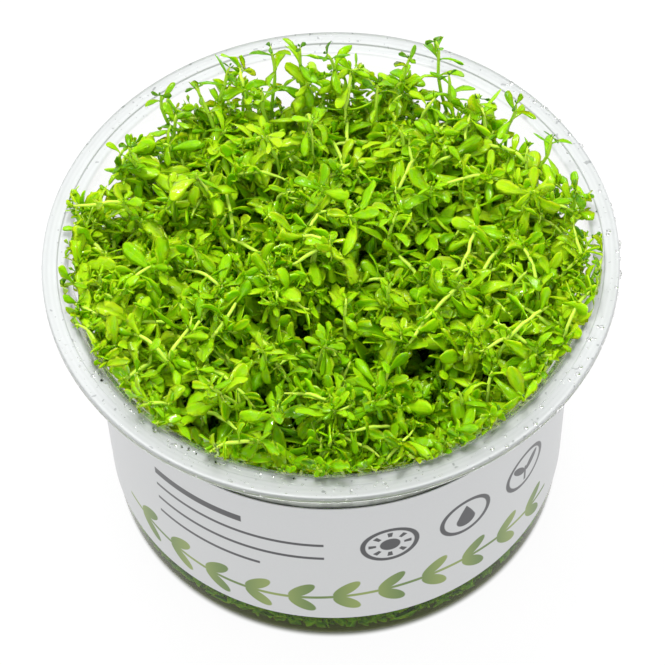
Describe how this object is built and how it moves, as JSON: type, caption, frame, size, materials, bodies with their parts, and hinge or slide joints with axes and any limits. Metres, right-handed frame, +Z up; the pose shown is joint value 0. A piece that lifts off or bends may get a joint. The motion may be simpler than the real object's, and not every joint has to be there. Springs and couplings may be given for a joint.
{
  "type": "potted aquarium plant, pearlweed in a tissue-culture cup",
  "caption": "Dense pearlweed with small oval leaves, grown on clear gel in a round clear plastic cup with a stepped rim and a white wrap-round label.",
  "frame": {"origin": "middle of the cup's underside, on the surface that it stands on", "axes": "+Z up out of the cup; the label's middle faces -Y, and its open gap faces +Y"},
  "size_m": [0.105, 0.105, 0.0752],
  "materials": {
    "clear_plastic": "clear, smooth, glossy",
    "label_paper": "white coated paper, satin, with a plain printed design",
    "clear_gel": "clear soft nutrient gel",
    "leaf_green": "fresh leaves, bright yellow-green, waxy sheen"
  },
  "bodies": {
    "root": {"cup": "clear_plastic", "label": "label_paper", "growing_gel": "clear_gel", "tuft_01": "leaf_green", "tuft_02": "leaf_green", "tuft_03": "leaf_green", "tuft_04": "leaf_green", "tuft_05": "leaf_green", "tuft_06": "leaf_green", "tuft_07": "leaf_green", "tuft_08": "leaf_green", "tuft_09": "leaf_green", "tuft_10": "leaf_green", "tuft_11": "leaf_green", "tuft_12": "leaf_green", "tuft_13": "leaf_green", "tuft_14": "leaf_green", "tuft_15": "leaf_green", "tuft_16": "leaf_green", "tuft_17": "leaf_green", "tuft_18": "leaf_green", "tuft_19": "leaf_green", "tuft_20": "leaf_green", "tuft_21": "leaf_green", "tuft_22": "leaf_green", "tuft_23": "leaf_green", "tuft_24": "leaf_green", "tuft_25": "leaf_green", "tuft_26": "leaf_green", "tuft_27": "leaf_green", "tuft_28": "leaf_green", "tuft_29": "leaf_green", "tuft_30": "leaf_green", "tuft_31": "leaf_green", "tuft_32": "leaf_green", "tuft_33": "leaf_green", "tuft_34": "leaf_green", "tuft_35": "leaf_green"}
  },
  "joints": []
}
